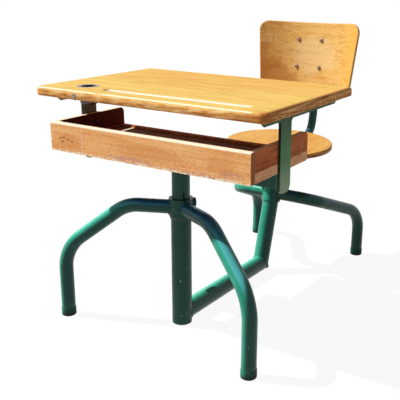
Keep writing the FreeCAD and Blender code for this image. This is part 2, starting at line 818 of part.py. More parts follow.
def make_back(seat_post_solid):
    top = back_rise_above_bolts
    low = top - back_height
    half_top = back_top_width / 2
    half_bottom = back_bottom_width / 2
    outline = [Vector(-half_top, 0, top), Vector(half_top, 0, top),
               Vector(half_bottom, 0, low), Vector(-half_bottom, 0, low)]
    radii = [back_top_corner, back_top_corner, back_bottom_corner, back_bottom_corner]
    board = curved_sheet(back_curve_radius, back_outer_radius, outline, radii)
    board = board.makeFillet(
        back_edge_round, edges_of_bent_faces(board, (back_curve_radius, back_outer_radius)))

    plate_half = back_plate_width / 2
    plate_rise = back_plate_height / 2
    plate_outline = [Vector(-plate_half, 0, plate_rise), Vector(plate_half, 0, plate_rise),
                     Vector(plate_half, 0, -plate_rise), Vector(-plate_half, 0, -plate_rise)]
    plate = curved_sheet(back_outer_radius, back_plate_outer_radius, plate_outline,
                         [back_plate_corner] * len(plate_outline))

    through = back_thickness + back_plate_thickness
    shank = through + nut_height + bolt_end_past_nut
    bolts = []
    nuts = []
    for place, inward in back_bolt_places():
        bolts.append(headed_pin(place, inward, bolt_head_diameter / 2, bolt_head_height,
                                bolt_head_round, bolt_diameter / 2, shank))
        nut = hexagon(nut_across_flats, nut_height, place + inward * through, inward)
        nuts.append(nut.cut(bolts[-1]))

    def placed(shape):
        return in_frame_of(back_centre, back_tilt, shape)

    pieces["backrest_board"] = placed(board.cut(bolts))
    pieces["back_plate"] = placed(plate.cut(bolts).cut(nuts))
    pieces["backrest_bolts"] = placed(Part.makeCompound(bolts))
    pieces["backrest_nuts"] = placed(Part.makeCompound(nuts))

    tube_y = through + back_tube_radius
    start = post_axis_at_drop(seat_underside_drop + back_tube_radius)
    run_along = (back_tube_rear_distance - seat_centre_distance) / math.cos(math.radians(seat_rise))
    rear = seat_point(run_along, seat_underside_drop + back_tube_radius)
    plate_low = back_point(0, tube_y, -plate_rise)
    bow_height = rear.z + (plate_low.z - rear.z) * back_tube_bow_share
    bow = Vector(0, back_tube_bow_distance, bow_height)
    points = [start, rear, bow, plate_low, back_point(0, tube_y, plate_rise)]
    bends = [back_tube_seat_bend, back_tube_bow_bend, back_tube_bow_bend]
    tube = bent_tube(points, bends, back_tube_radius, back_tube_wall)
    pieces["back_tube"] = tube.cut(seat_post_solid)

    up_the_back = back_tilt.multVec(upward)
    end = back_point(0, tube_y, plate_rise)
    disc = Part.makeCylinder(back_tube_radius, back_tube_cap_thickness, end, up_the_back)
    spigot = Part.makeCylinder(back_tube_radius - back_tube_wall, back_tube_cap_spigot, end,
                               up_the_back * -1)
    pieces["back_tube_cap"] = join([disc, spigot])


# ---- Build and write out ------------------------------------------------------------------------

make_desktop()
make_top_frame()
make_tray()

# All that is built so far rests on the crossbar, which is welded a little out of level
for piece in pieces.values():
    piece.rotate(top_pivot, along_x, top_slope)

make_post_assembly()
make_desk_legs()
make_floor_beam_and_column()
make_seat_legs()
make_back(make_seat())

footprint = Part.makeCompound(list(pieces.values())).optimalBoundingBox()
to_middle = Vector(0, -(footprint.YMin + footprint.YMax) / 2, 0)

os.makedirs("parts", exist_ok=True)
for name, shape in pieces.items():
    moved = shape.copy()
    moved.translate(to_middle)
    moved.exportStep("parts/" + name + ".step")
print("pieces", len(pieces), "moved along Y by", to_middle.y,
      "size", footprint.XLength, footprint.YLength, footprint.ZLength)
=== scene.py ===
"""School desk with an open tray and an attached chair: finishes, weld beads, wear, light and camera."""
import json
import math

import bpy
from mathutils import Matrix, Vector


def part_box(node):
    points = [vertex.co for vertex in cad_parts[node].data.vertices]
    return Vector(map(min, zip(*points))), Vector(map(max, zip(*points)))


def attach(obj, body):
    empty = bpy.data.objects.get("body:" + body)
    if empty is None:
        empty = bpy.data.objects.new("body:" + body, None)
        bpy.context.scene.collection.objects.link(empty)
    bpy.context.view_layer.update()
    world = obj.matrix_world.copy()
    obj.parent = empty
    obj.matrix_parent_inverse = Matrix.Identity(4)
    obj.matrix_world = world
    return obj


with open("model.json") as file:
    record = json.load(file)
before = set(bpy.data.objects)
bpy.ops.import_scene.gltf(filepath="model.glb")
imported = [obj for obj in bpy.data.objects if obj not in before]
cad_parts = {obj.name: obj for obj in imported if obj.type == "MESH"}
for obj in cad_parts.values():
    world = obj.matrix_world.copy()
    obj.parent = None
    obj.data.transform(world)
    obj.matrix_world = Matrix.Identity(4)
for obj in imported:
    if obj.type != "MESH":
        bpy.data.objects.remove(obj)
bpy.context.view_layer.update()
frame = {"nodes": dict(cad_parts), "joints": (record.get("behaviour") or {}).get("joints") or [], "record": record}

MM = 0.001
NODES = frame["nodes"]
JOINTS = {joint["name"]: joint for joint in frame["joints"]}

# ---- Places read from the frame -----------------------------------------------------------------

POST_LOW, POST_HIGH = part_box("desk_post")
COLLAR_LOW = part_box("post_collar")[0]
BEAM_LOW, BEAM_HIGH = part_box("floor_beam")
BACK_LOW, BACK_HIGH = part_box("backrest_board")

POST_AXIS = Vector((0, (POST_LOW.y + POST_HIGH.y) / 2, 0))
POST_RADIUS = POST_HIGH.x
COLLAR_RADIUS = -COLLAR_LOW.x
BEAM_RADIUS = BEAM_HIGH.x
BEAM_AXIS_HEIGHT = (BEAM_LOW.z + BEAM_HIGH.z) / 2
LEG_RADIUS = 33.7 / 2 * MM
HEIGHT_TUBE_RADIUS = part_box("height_tube")[1].x
SEAT_COLLAR_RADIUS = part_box("seat_collar")[1].x

ORIGIN = Vector((0, 0, 0))
ALONG_X = Vector((1, 0, 0))
ALONG_Y = Vector((0, 1, 0))
UPWARD = Vector((0, 0, 1))
# The lamp's direction. The enamel and the rubber are also painted paler on sides that face it, as painted light
TOWARD_LIGHT = Vector((-0.84, -0.34, 1.0)).normalized()
# The normal that mirrors the sky toward the camera, used for a painted sky reflection on the desk legs
SKY_REFLECTING_NORMAL = Vector((0.34, -0.45, 0.83)).normalized()
COLUMN_DIRECTION = Vector(JOINTS["seat_height"]["axis"]).normalized()

# The desk's top slopes a little, so its pieces are measured in mm from their own square frame
WORK_SURFACE = next(m for m in frame["record"]["mounts"] if m["name"] == "work_surface")
TOP_MIDDLE = Vector(WORK_SURFACE["pos_m"])
TOP_NORMAL = Vector(WORK_SURFACE["axis"]).normalized()
TOP_BACKWARD = TOP_NORMAL.cross(ALONG_X)
TOP_DOWNWARD = -TOP_NORMAL
TOP_FORWARD = -TOP_BACKWARD
TOP_WIDTH = 610
TOP_DEPTH = 445
TOP_THICKNESS = 21
TRAY_FRONT_FROM_FRONT = 8
TRAY_INSET = 35
TRAY_TOP_BELOW = 80
TRAY_HEIGHT = 66
TRAY_LOW_BELOW = TRAY_TOP_BELOW + TRAY_HEIGHT
CROSSBAR_HEIGHT = 34
CROSSBAR_WIDTH = 45
CROSSBAR_FRONT_FROM_FRONT = 114.5


def on_top(from_left, from_front, below):
    """A place of the desk's top and tray, in mm from the desktop's left end, front and surface."""
    return (TOP_MIDDLE + ALONG_X * (from_left - TOP_WIDTH / 2) * MM
            + TOP_BACKWARD * (from_front - TOP_DEPTH / 2) * MM - TOP_NORMAL * below * MM)


def on_column(height):
    """The point of the seat column's axis at a height."""
    clamp = Vector(JOINTS["seat_clamp_turn"]["pos_m"])
    return clamp + COLUMN_DIRECTION * ((height - clamp.z) / COLUMN_DIRECTION.z)


TOP_CORNER = on_top(0, 0, 0)


# ---- Patterns made of nodes -----------------------------------------------------------------------

def colour(code):
    """A linear colour with alpha, from an sRGB hex code."""
    shares = [int(code[place:place + 2], 16) / 255 for place in (0, 2, 4)]
    return [s / 12.92 if s <= 0.04045 else ((s + 0.055) / 1.055) ** 2.4 for s in shares] + [1.0]


def add(tree, kind, links=None, out=None, stops=None, **settings):
    """Adds a node with its settings, links its inputs or sets their values, and returns one output.
    A colour is given as its hex code."""
    node = tree.nodes.new("ShaderNode" + kind)
    for name, value in settings.items():
        setattr(node, name, value)
    for name, value in (links or {}).items():
        socket = node.inputs[name] if isinstance(name, int) else next(
            s for s in node.inputs if s.enabled and s.name == name)
        if isinstance(value, bpy.types.NodeSocket):
            tree.links.new(value, socket)
        else:
            socket.default_value = colour(value) if isinstance(value, str) else value
    if stops:
        ramp = node.color_ramp.elements
        while len(ramp) < len(stops):
            ramp.new(0.5)
        for element, (position, code) in zip(ramp, stops):
            element.position = position
            element.color = colour(code)
    if out:
        return node.outputs[out]
    return next((s for s in node.outputs if s.enabled), None)


def new_finish(name):
    """An empty material and its node tree."""
    material = bpy.data.materials.new(name)
    material.use_nodes = True
    material.node_tree.nodes.clear()
    return material, material.node_tree


def mottle(tree, size, detail=2.0, shift=(0, 0, 0), warp=0.0):
    """Cloudy variation from 0 to 1 whose features have a real size in mm along each axis."""
    place = add(tree, "TexCoord", out="Object")
    counted = add(tree, "Mapping", {"Vector": place, "Scale": [1 / (side * MM) for side in size],
                                    "Location": shift})
    return add(tree, "TexNoise", {"Vector": counted, "Scale": 1.0, "Detail": detail,
                                  "Roughness": 0.55, "Distortion": warp})


def spots(tree, size, none, full, detail=2.0, shift=(0, 0, 0), warp=0.0):
    """Ragged spots of a real size in mm: 0 to 1 between two levels of cloudy variation."""
    clouds = mottle(tree, size, detail, shift, warp)
    return add(tree, "MapRange", {"Value": clouds, "From Min": none, "From Max": full},
               interpolation_type="SMOOTHSTEP")


def clouded(tree, dark, pale, size, detail=3.0, shift=(0, 0, 0), warp=0.0, spread=0.15):
    """Two tones of one finish, clouded into each other at a real size in mm."""
    return add(tree, "ValToRGB", {"Fac": mottle(tree, size, detail, shift, warp)},
               stops=[(0.5 - spread, dark), (0.5 + spread, pale)])


def facing(tree, direction, none, full):
    """How squarely a surface faces a direction: 0 to 1 between two cosines."""
    normal = add(tree, "TexCoord", out="Normal")
    cosine = add(tree, "VectorMath", {0: normal, 1: direction}, out="Value", operation="DOT_PRODUCT")
    return add(tree, "MapRange", {"Value": cosine, "From Min": none, "From Max": full},
               interpolation_type="SMOOTHSTEP")


def beyond(tree, origin, direction, none, full):
    """How far a place lies from an origin along a direction: 0 to 1 between two distances in mm."""
    place = add(tree, "TexCoord", out="Object")
    offset = add(tree, "VectorMath", {0: place, 1: origin}, operation="SUBTRACT")
    reach = add(tree, "VectorMath", {0: offset, 1: direction / MM}, out="Value",
                operation="DOT_PRODUCT")
    return add(tree, "MapRange", {"Value": reach, "From Min": none, "From Max": full},
               interpolation_type="SMOOTHSTEP")


def strip(tree, origin, direction, start, end, fade):
    """1 between two distances in mm from an origin along a direction, fading out past them."""
    return all_of(tree, beyond(tree, origin, direction, start - fade, start),
                  beyond(tree, origin, direction, end + fade, end))


def patch(tree, centre, size, ragged, grain):
    """1 inside a worn or stained place of a real size in mm about a centre, with a ragged edge."""
    place = add(tree, "TexCoord", out="Object")
    offset = add(tree, "VectorMath", {0: place, 1: centre}, operation="SUBTRACT")
    scaled = add(tree, "VectorMath", {0: offset, 1: [2 / (side * MM) for side in size]},
                 operation="MULTIPLY")
    reach = add(tree, "VectorMath", {0: scaled}, out="Value", operation="LENGTH")
    roughened = add(tree, "Math", {0: reach, 1: all_of(tree, mottle(tree, grain, shift=centre),
                                                       2 * ragged)}, operation="ADD")
    return add(tree, "MapRange", {"Value": roughened, "From Min": 1.0 + ragged,
                                  "From Max": 0.55 + ragged}, interpolation_type="SMOOTHSTEP")


def all_of(tree, first, *others):
    """The share of a surface where several limits hold together: their product."""
    for other in others:
        first = add(tree, "Math", {0: first, 1: other}, operation="MULTIPLY")
    return first


def any_of(tree, first, *others):
    """The share of a surface where at least one of several limits holds: their greatest."""
    for other in others:
        first = add(tree, "Math", {0: first, 1: other}, operation="MAXIMUM")
    return first


def laid_over(tree, under, over, *shares):
    """A stain, wear or dust laid over a finish, by the product of the shares that limit it."""
    return add(tree, "Mix", {"Factor": all_of(tree, *shares), "A": under, "B": over},
               data_type="RGBA")


def finished(material, tree, base, height, relief, **sockets):
    """Ends a material in one shader, with its relief in mm from a height pattern."""
    bump = add(tree, "Bump", {"Height": height, "Strength": 1.0, "Distance": relief * MM})
    values = {name.replace("_", " "): value for name, value in sockets.items()}
    shader = add(tree, "BsdfPrincipled", {"Base Color": base, "Normal": bump, **values})
    add(tree, "OutputMaterial", {"Surface": shader})
    return material


# ---- Wood -----------------------------------------------------------------------------------------

def grained(tree, grain, pale, middle, deep, pore, shift=(0, 0, 0), pore_share=0.4):
    """The colour of a varnished board whose grain runs along one axis, and the height of its grain."""
    def stretched(length, width):
        return [length if axis == grain else width for axis in "XYZ"]
    # Rays and pores of beech are 0.1 mm wide. At 2.6 and 1.6 mm they are coarse enough to show
    streaks = mottle(tree, stretched(170, 9), 4.0, shift, warp=0.6)
    lines = mottle(tree, stretched(60, 2.6), 3.0, shift)
    pores = spots(tree, stretched(11, 1.6), 0.60, 0.70, 2.0, shift)
    tone = add(tree, "Math", {0: all_of(tree, streaks, 0.62), 1: all_of(tree, lines, 0.38)},
               operation="ADD")
    wood = add(tree, "ValToRGB", {"Fac": tone},
               stops=[(0.36, deep), (0.50, middle), (0.64, pale)])
    wood = laid_over(tree, wood, pore, pores, pore_share)
    return wood, add(tree, "Math", {0: lines, 1: pores}, operation="SUBTRACT")


def varnished_beech_top():
    """Beech board, varnished long ago: honey gold and nearly dull, with a broken pale line on its front
    rounding and a near-white groove, both painted highlights, and darker toward its lower edge as
    painted shade."""
    material, tree = new_finish("beech_varnished_honey")
    wood, height = grained(tree, "X", "ECCE7A", "E0BE69", "CC9E4E", "A06E32")
    wood = rear_streaks(tree, wood)
    wood = edge_wood(tree, wood)
    wood = browned_places_and_front_highlight(tree, wood)
    wood = painted_groove(tree, wood)
    return finished(material, tree, wood, height, 0.08, Roughness=0.62, Specular_IOR_Level=0.10)


def rear_streaks(tree, wood):
    """Brown streaks in the middle of the desktop, and a deeper honey toward its rear."""
    zone = patch(tree, on_top(275, 300, 0), (640, 380, 60), 0.5, (120, 16, 14))
    streaks = spots(tree, (120, 4.5, 6), 0.47, 0.60, 4.0, (3, 7, 1), 0.8)
    wood = laid_over(tree, wood, "CC863C", zone, streaks, 0.85)
    return laid_over(tree, wood, "DCAA54", beyond(tree, TOP_CORNER, TOP_BACKWARD, 180, 420), 0.45)


def edge_wood(tree, wood):
    """The desktop's edges: streaky wood at the front, end grain at the right, and low down painted
    shade with dark runs.
    """
    front_streaks = add(tree, "ValToRGB", {"Fac": mottle(tree, (38, 9, 7), 4.0, (1, 2, 3))},
                        stops=[(0.36, "C07E40"), (0.48, "F8BC70"), (0.62, "FFDA9E")])
    wood = laid_over(tree, wood, front_streaks, facing(tree, TOP_NORMAL, 0.75, 0.25))
    end_streaks = add(tree, "ValToRGB", {"Fac": mottle(tree, (9, 70, 3.2), 4.0, (5, 2, 6))},
                      stops=[(0.38, "A66A36"), (0.50, "DEA266"), (0.64, "FFCE8C")])
    wood = laid_over(tree, wood, end_streaks, facing(tree, ALONG_X, 0.45, 0.7))
    # Painted shade: darker toward the lower edge and underside
    wood = laid_over(tree, wood, "A8682E", beyond(tree, TOP_CORNER, TOP_DOWNWARD, 10, 20), 0.35)
    runs = spots(tree, (60, 9, 5), 0.44, 0.58, 3.0, (4, 4, 7))
    return laid_over(tree, wood, "9A5826", beyond(tree, TOP_CORNER, TOP_DOWNWARD, 6, 14), runs, 0.6)


def browned_places_and_front_highlight(tree, wood):
    """Brown on the right end's upper rounding and at the front corner, and a broken pale line on the
    upper front rounding as a painted highlight."""
    end_rounding = all_of(tree, facing(tree, ALONG_X, 0.02, 0.12), facing(tree, ALONG_X, 0.6, 0.5),
                          beyond(tree, TOP_CORNER, TOP_DOWNWARD, 9, 5))
    wood = laid_over(tree, wood, "D2904E", end_rounding, 0.8)
    corner = patch(tree, on_top(TOP_WIDTH, 0, 14), (200, 90, 36), 0.5, (22, 8, 6))
    wood = laid_over(tree, wood, "B06A2E", corner, 0.65)
    # Painted highlight: a broken pale line along the upper front rounding, short of the ends
    front_rounding = all_of(tree, facing(tree, TOP_FORWARD, 0.22, 0.42),
                            facing(tree, TOP_FORWARD, 0.82, 0.64),
                            beyond(tree, TOP_CORNER, TOP_DOWNWARD, 8, 5))
    broken = spots(tree, (46, 5, 5), 0.30, 0.44, 3.0)
    short_of_ends = strip(tree, TOP_CORNER, ALONG_X, 8, 575, 6)
    return laid_over(tree, wood, "FFF4E0", front_rounding, broken, short_of_ends)


def painted_groove(tree, wood):
    """The pencil groove, painted near-white as a highlight and greyer on its front wall as painted
    shade, with a painted shadow at its left end.
    """
    groove = all_of(tree, strip(tree, TOP_CORNER, TOP_BACKWARD, 38, 61, 1),
                    beyond(tree, TOP_CORNER, TOP_DOWNWARD, 0.3, 1.2),
                    strip(tree, TOP_CORNER, ALONG_X, 176, 552, 8),
                    facing(tree, TOP_NORMAL, 0.2, 0.4))
    # Painted highlight: the groove near-white
    chalk = laid_over(tree, "FFF6E4", "E4D8D0", mottle(tree, (30, 6, 6)))
    # Painted shade: greyer on the groove's front wall
    chalk = laid_over(tree, chalk, "BDB2BC", facing(tree, TOP_BACKWARD, 0.05, 0.45), 0.7)
    wood = laid_over(tree, wood, chalk, groove)
    # Painted shadow at the groove's left end
    groove_end_shadow = patch(tree, on_top(178, 49, 3), (44, 20, 20), 0.5, (14, 5, 5))
    return laid_over(tree, wood, "CDA088", groove_end_shadow, 0.45)


def tray_front_patch(tree, from_left, above_edge, size, ragged, grain):
    """A patch on the tray's front board, placed in mm from the desktop's left end and above the
    tray's lower edge."""
    centre = on_top(from_left, TRAY_FRONT_FROM_FRONT, TRAY_LOW_BELOW - above_edge)
    return patch(tree, centre, size, ragged, grain)


def varnished_tray_front():
    """Beech board under an old, crazed varnish: orange-brown, finely speckled, scuffed to a pinkish
    bloom along its lower edge, pale on its upper rounding as a painted highlight, and darker on its
    right end grain and its back face as painted shade."""
    material, tree = new_finish("beech_varnished_orange_speckled")
    wood, height = grained(tree, "X", "FFCD92", "FDC082", "ECA664", "A8622F", (5, 1, 2), 0.5)
    wood = laid_over(tree, wood, "BC7036", spots(tree, (3.2, 3.2, 3.2), 0.60, 0.68, 1.0), 0.6)
    pale_specks = spots(tree, (4.5, 4.5, 5.5), 0.67, 0.73, 1.0, (9, 4, 2))
    wood = laid_over(tree, wood, "FFE2BC", pale_specks, 0.7)
    wood = scuffed_tray_front(tree, wood)
    wood = chipped_tray_front(tree, wood)
    # Painted highlight: pale on the upper rounding
    upper_rounding = beyond(tree, TOP_CORNER, TOP_DOWNWARD, TRAY_TOP_BELOW + 5, TRAY_TOP_BELOW + 1.5)
    wood = laid_over(tree, wood, "FFF1E2", upper_rounding, 0.9)
    # Painted shade: darker on the right end and on the face inside the tray
    wood = laid_over(tree, wood, "96583A", facing(tree, ALONG_X, 0.5, 0.9), 0.9)
    wood = laid_over(tree, wood, "7A4430", facing(tree, TOP_BACKWARD, 0.5, 0.9), 0.85)
    return finished(material, tree, wood, height, 0.10, Roughness=0.6, Specular_IOR_Level=0.12)


def scuffed_tray_front(tree, wood):
    """A pinkish bloom where knees have scuffed the board, browner places, a chalk line and dents."""
    # Each place in mm: from the left, above the lower edge, and its length and height
    bloomed = ((268, 8, 170, 20), (455, 4, 160, 13), (530, 14, 70, 20))
    for from_left, above_edge, length, tall in bloomed:
        bloom = tray_front_patch(tree, from_left, above_edge, (length, 40, tall), 0.6, (14, 5, 4))
        spotted = spots(tree, (5, 5, 3.5), 0.40, 0.54, 2.0, (7, 1, 1))
        wood = laid_over(tree, wood, "D49C90", bloom, spotted, 0.85)
    browned = ((95, 26, 90, 46), (330, 30, 240, 44), (505, 30, 90, 50))
    for from_left, above_edge, length, tall in browned:
        brown = tray_front_patch(tree, from_left, above_edge, (length, 40, tall), 0.6, (18, 8, 6))
        wood = laid_over(tree, wood, "D98C4A", brown, 0.4)
    chalk_line = tray_front_patch(tree, 133, 35, (3.2, 30, 110), 0.2, (3, 3, 9))
    wood = laid_over(tree, wood, "F4DACB", chalk_line, 0.65)
    for from_left, above_edge in ((65, 32), (76, 34), (89, 30), (101, 27), (72, 24)):
        dent = tray_front_patch(tree, from_left, above_edge, (9, 30, 4), 0.4, (4, 4, 3))
        wood = laid_over(tree, wood, "66392A", dent)
    return wood


def chipped_tray_front(tree, wood):
    """Varnish chipped to pale wood along the left end and the lower edge."""
    left_end = beyond(tree, TOP_CORNER, ALONG_X, 43, 36)
    end_chips = spots(tree, (7, 6, 8), 0.46, 0.54, 2.0, (6, 2, 3))
    wood = laid_over(tree, wood, "FFE8CC", left_end, end_chips)
    lower_edge = beyond(tree, TOP_CORNER, TOP_DOWNWARD, TRAY_LOW_BELOW - 8, TRAY_LOW_BELOW - 2)
    edge_chips = spots(tree, (8, 6, 5), 0.46, 0.52, 2.0, (2, 2, 8))
    return laid_over(tree, wood, "FFEFD8", lower_edge, edge_chips)


def stained_tray_wood():
    """Beech stained red-brown inside and out, rubbed paler on the rails, and near-white on the upper
    edges: its brushed varnish worn through to the wood, lightened further as a painted highlight.
    Faces turned left, short of the right end, are darker, and faces turned right inside the tray much
    darker, as painted shade."""
    material, tree = new_finish("beech_stained_red_brown")
    wood, height = grained(tree, "Y", "E08E5E", "C8764C", "A65836", "4A2416", (2, 6, 4), 0.5)
    runs = spots(tree, (5, 7, 60), 0.48, 0.62, 2.0, (1, 5, 5))
    wood = laid_over(tree, wood, "6E3826", runs, 0.35)
    rail = beyond(tree, TOP_CORNER, TOP_DOWNWARD, TRAY_TOP_BELOW + 45, TRAY_TOP_BELOW + 46)
    wood = laid_over(tree, wood, "F0B48A", rail, 0.8)
    rubbed = spots(tree, (9, 22, 7), 0.46, 0.60, 3.0, (3, 3, 3))
    wood = laid_over(tree, wood, "FFD4B0", rail, rubbed, 0.7)
    # Worn wood and a painted highlight: near-white on the upper edges
    upper_edge = all_of(tree, facing(tree, TOP_NORMAL, 0.6, 0.9),
                        beyond(tree, TOP_CORNER, TOP_DOWNWARD, TRAY_TOP_BELOW + 14, TRAY_TOP_BELOW + 2))
    wood = laid_over(tree, wood, "FFEAD2", upper_edge, 0.9)
    # Painted shade: side faces darker, darkest where turned right inside the tray
    left_of_right_end = beyond(tree, TOP_CORNER, ALONG_X, 567, 562)
    wood = laid_over(tree, wood, "8C4E36", left_of_right_end, facing(tree, -ALONG_X, 0.5, 0.9), 0.5)
    wood = laid_over(tree, wood, "5A170A", facing(tree, ALONG_X, 0.5, 0.9), left_of_right_end, 0.94)
    return finished(material, tree, wood, height, 0.10, Roughness=0.65, Specular_IOR_Level=0.05)


def stained_tray_panel():
    """Thin plywood stained as the tray's inside is, dark and matt, with one pale strip from front to rear
    painted where the lamp's light falls between shadows: a painted strip of sunlight."""
    material, tree = new_finish("plywood_stained_dark")
    wood, height = grained(tree, "X", "9A5A42", "7E4632", "623424", "341A12", (8, 2, 6), 0.4)
    # Painted light: a pale strip where sunlight falls on the tray's floor
    painted_sun_strip = strip(tree, TOP_CORNER, ALONG_X, 84, 90, 1.0)
    wood = laid_over(tree, wood, "FFF4E0", painted_sun_strip, facing(tree, TOP_NORMAL, 0.6, 0.9), 0.95)
    return finished(material, tree, wood, height, 0.08, Roughness=0.7, Specular_IOR_Level=0.15)


def plywood_seat():
    """Bent beech plywood under clear varnish, sat on for years: brown honey with brown ply edges."""
    material, tree = new_finish("beech_plywood_seat")
    wood, height = grained(tree, "Y", "DAAE60", "D09E4E", "BE843A", "A06830", (4, 9, 1), 0.5)
    plies = clouded(tree, "9A6638", "D89C60", (60, 60, 1.9), 1.0, spread=0.10)
    wood = laid_over(tree, wood, plies, facing(tree, UPWARD, 0.55, 0.25))
    return finished(material, tree, wood, height, 0.08, Roughness=0.5, Specular_IOR_Level=0.15)


def plywood_backrest():
    """Bent beech plywood under clear varnish: honey, with fine dashes, dark pits and brown ply edges,
    darkened by handling at one lower corner and bright at the far side."""
    material, tree = new_finish("beech_plywood_back")
    wood, height = grained(tree, "X", "FFD88E", "FACA7A", "E8A852", "A06830", (4, 9, 1), 0.5)
    wood = backrest_tones_and_highlight(tree, wood)
    wood = laid_over(tree, wood, "6E4426", spots(tree, (3.5, 3.5, 3), 0.76, 0.80, 0.0, (1, 8, 8)), 0.65)
    flaked_corner = (BACK_LOW.x + 25 * MM, BACK_HIGH.y - 20 * MM, BACK_HIGH.z - 46 * MM)
    flakes = spots(tree, (4, 4, 4), 0.60, 0.66, 0.0, (6, 2, 5))
    wood = laid_over(tree, wood, "F6D79A", patch(tree, flaked_corner, (90, 300, 50), 0.5, (6, 6, 5)),
                     flakes)
    rim = any_of(tree, facing(tree, ALONG_X, 0.55, 0.8), facing(tree, -ALONG_X, 0.55, 0.8),
                 facing(tree, UPWARD, 0.6, 0.85))
    plies = clouded(tree, "B87C46", "F4BE80", (60, 1.6, 60), 1.0, spread=0.10)
    wood = laid_over(tree, wood, plies, rim)
    return finished(material, tree, wood, height, 0.08, Roughness=0.5, Specular_IOR_Level=0.15)


def backrest_tones_and_highlight(tree, wood):
    """The backrest's varnish, browned toward its left and lower left, pale in the middle as a painted
    highlight, and golden at the right."""
    lower_left = (BACK_LOW.x + 20 * MM, BACK_LOW.y, BACK_LOW.z + 20 * MM)
    wood = laid_over(tree, wood, "C0702E",
                     patch(tree, lower_left, (250, 500, 170), 0.5, (50, 50, 26)), 0.6)
    clouds = spots(tree, (80, 60, 44), 0.46, 0.62, 4.0, (2, 2, 9), 1.5)
    wood = laid_over(tree, wood, "C47E38", clouds, beyond(tree, ORIGIN, ALONG_X, 15, -70), 0.5)
    # Painted highlight in the middle of the backrest
    middle = (15 * MM, BACK_LOW.y, (BACK_LOW.z + BACK_HIGH.z) / 2)
    wood = laid_over(tree, wood, "FFE0AA",
                     patch(tree, middle, (190, 500, 130), 0.5, (40, 40, 24)), 0.5)
    wood = laid_over(tree, wood, "CC7E36", beyond(tree, ORIGIN, ALONG_X, 0, BACK_LOW.x / MM), 0.5)
    right = beyond(tree, ORIGIN, ALONG_X, 95, BACK_HIGH.x / MM - 8)
    return laid_over(tree, wood, "F8C04E", right, 0.6)


# ---- Enamel, steel, rubber and plastic --------------------------------------------------------------

BRUSHED_CLOUDS = (60, 60, 80)


def enamel_with_painted_light():
    """Steel brushed with dark green gloss enamel: deep bottle green with soft highlights. Light is
    painted into it: the sides toward the lamp are a paler sea green, upper slopes toward it paler still
    as a painted highlight, and the desk legs' upper fronts bluer as a painted sky reflection. Near the
    post, in the top's shadow, upper sides are painted navy as a sky reflection in shade."""
    material, tree = new_finish("steel_enamelled_bottle_green")
    deep = clouded(tree, "133A31", "1A463A", BRUSHED_CLOUDS)
    lit_side_green = clouded(tree, "248C76", "309C86", BRUSHED_CLOUDS)
    shade_middle = POST_AXIS + ALONG_X * 20 * MM + UPWARD * 295 * MM
    in_top_shadow = patch(tree, shade_middle, (410, 400, 170), 0.2, (40, 40, 40))
    out_of_shade = add(tree, "MapRange", {"Value": in_top_shadow, "From Min": 1.0, "From Max": 0.1},
                       interpolation_type="SMOOTHSTEP")
    # Painted light: the sides toward the lamp are paler, except in the top's shadow
    tone = laid_over(tree, deep, lit_side_green, facing(tree, TOWARD_LIGHT, 0.06, 0.50), out_of_shade)
    # Painted highlight: paler still on upper slopes toward the lamp
    tone = laid_over(tree, tone, "50CCB6", facing(tree, TOWARD_LIGHT, 0.50, 0.80),
                     facing(tree, UPWARD, 0.35, 0.7), 0.8)
    before_post = beyond(tree, POST_AXIS, -ALONG_Y, 10, 50)
    # Painted sky reflection: bluer on the desk legs' upper fronts, ahead of the post
    tone = laid_over(tree, tone, "56B8C4", facing(tree, TOWARD_LIGHT, 0.1, 0.4),
                     facing(tree, SKY_REFLECTING_NORMAL, 0.72, 0.96), before_post, 0.8)
    # Painted sky reflection in shade: navy on upper sides in the top's shadow
    tone = laid_over(tree, tone, "205C8E", facing(tree, UPWARD, 0.1, 0.7), in_top_shadow, 0.9)
    return worn_gloss(material, tree, tone)


def shaded_copy_enamel():
    """A shaded copy of the same enamel, for steel that lies in the desk's and the seat's shade: it has no
    painted lit side, navy patches on upper sides are a painted sky reflection, and downward sides are
    painted olive black as painted shade."""
    material, tree = new_finish("steel_enamelled_shaded_copy")
    deep = clouded(tree, "133A31", "1A463A", BRUSHED_CLOUDS)
    # Painted sky reflection: navy in patches on upper sides
    sky_reflection_patches = spots(tree, (30, 30, 40), 0.42, 0.58, 2.0, (7, 2, 2))
    tone = laid_over(tree, deep, "1E4A78", facing(tree, UPWARD, 0.1, 0.7), sky_reflection_patches, 0.8)
    # Painted shade: downward sides olive black
    tone = laid_over(tree, tone, "203820", facing(tree, UPWARD, 0.2, -0.5))
    return worn_gloss(material, tree, tone)


def worn_gloss(material, tree, tone):
    """Ends the tubes' enamel: orange peel, dull rubbed places, dust, scuffs near the floor, and chips
    of 1 to 2 mm down to a pale primer."""
    dust = spots(tree, (14, 14, 26), 0.58, 0.76, 4.0, (3, 1, 5))
    tone = laid_over(tree, tone, "5E9E8E", dust, 0.2)
    tone = laid_over(tree, tone, "C9D6CC", spots(tree, (6, 6, 7), 0.79, 0.81, 1.0, (8, 3, 3)))
    for across, height in ((12, 120), (17, 48)):
        chip = patch(tree, (across * MM, POST_LOW.y, height * MM), (4, 14, 5), 0.3, (3, 3, 3))
        tone = laid_over(tree, tone, "D5E0D6", chip)
    tone = laid_over(tree, tone, "2B5A4A", beyond(tree, ORIGIN, UPWARD, 60, 6), 0.3)
    rough = clouded(tree, "8C8C8C", "A8A8A8", (30, 30, 40), 3.0, (5, 5, 1), spread=0.2)
    return finished(material, tree, tone, mottle(tree, (4, 4, 4)), 0.04, Roughness=rough, IOR=1.5,
                    Specular_IOR_Level=0.36, Specular_Tint="BCEEF2")


